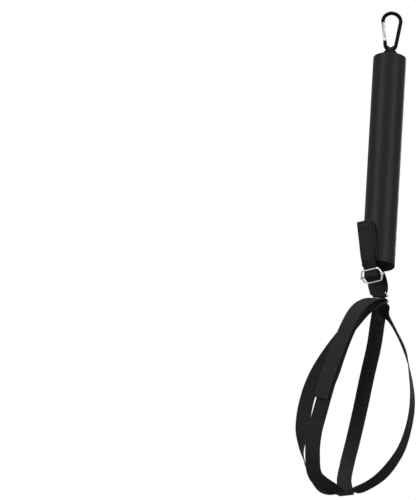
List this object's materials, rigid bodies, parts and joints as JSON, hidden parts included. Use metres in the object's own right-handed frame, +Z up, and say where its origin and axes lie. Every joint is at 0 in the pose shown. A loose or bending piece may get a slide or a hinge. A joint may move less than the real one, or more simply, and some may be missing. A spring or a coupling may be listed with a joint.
{
  "type": "volleyball spike trainer",
  "caption": "Hanging strap cradle that holds a volleyball below a foam tube, with a carabiner on top, an elastic core and a tri-glide length adjuster.",
  "frame": {"origin": "the point at the top of the carabiner's inside, where a hook, ring or rail bears", "axes": "+Z up along the foam tube, +X to the right of the pictured side, -Y towards the viewer of that side"},
  "size_m": [0.1954, 0.1557, 0.8725],
  "materials": {
    "carabiner_black": "gloss black coating",
    "bright_metal": "bright nickel plate",
    "plain_steel": "plain",
    "foam": "matte closed-cell foam",
    "webbing": "ribbed flat weave",
    "elastic": "braided cover",
    "hook_tape": "hook and loop pile"
  },
  "bodies": {
    "carabiner": {"carabiner_body": "carabiner_black", "gate_hinge_rivet": "bright_metal"},
    "gate": {"carabiner_gate": "bright_metal", "gate_latch_pin": "bright_metal", "gate_plunger": "plain_steel", "gate_spring": "plain_steel"},
    "hanger": {"top_loop": "webbing", "foam_tube": "foam", "elastic_cord": "elastic", "upper_cord_fitting": "plain_steel", "upper_fitting_rivet": "plain_steel"},
    "lower_anchor": {"lower_cord_fitting": "plain_steel", "lower_fitting_rivet": "plain_steel", "buckle_tab": "webbing", "buckle_frame": "bright_metal", "buckle_centre_bar": "bright_metal", "strap_tail": "webbing", "standing_strap": "webbing", "returning_strap": "webbing"},
    "fold": {"strap_fold": "webbing"},
    "ring": {"d_ring": "bright_metal"},
    "cradle": {"side_loop": "webbing", "front_loop": "webbing", "loop_patch": "hook_tape"},
    "flap": {"closure_flap": "webbing", "hook_patch": "hook_tape"}
  },
  "joints": [
    {"name": "gate_swing", "type": "hinge", "parent": "carabiner", "child": "gate", "pos_m": [-0.01045, 0, -0.0446], "axis": [0, 1, 0], "range_deg": [0, 28], "stiffness_Nm_per_rad": 0.02, "springref_deg": -11.46},
    {"name": "hanger_swing", "type": "hinge", "parent": "carabiner", "child": "hanger", "pos_m": [0, 0, -0.063], "axis": [1, 0, 0], "range_deg": [-75, 75]},
    {"name": "elastic_stretch", "type": "slide", "parent": "hanger", "child": "lower_anchor", "axis": [0, 0, -1], "range_m": [0, 0.2], "stiffness_N_per_m": 180, "deforming": ["elastic_cord"]},
    {"name": "strap_adjust", "type": "slide", "parent": "lower_anchor", "child": "fold", "axis": [0, 0, -1], "range_m": [0, 0.035], "deforming": ["standing_strap", "returning_strap"]},
    {"name": "ring_rock", "type": "hinge", "parent": "fold", "child": "ring", "pos_m": [0.0061, 0, -0.5103], "axis": [0, 1, 0], "range_deg": [-20, 20]},
    {"name": "cradle_swing", "type": "hinge", "parent": "ring", "child": "cradle", "pos_m": [0.0061, 0, -0.5129], "axis": [1, 0, 0], "range_deg": [-25, 35]},
    {"name": "flap_peel", "type": "hinge", "parent": "cradle", "child": "flap", "pos_m": [-0.0527, -0.05614, -0.60331], "axis": [-0.9278, 0.2866, 0.2387], "range_deg": [0, 110]}
  ]
}
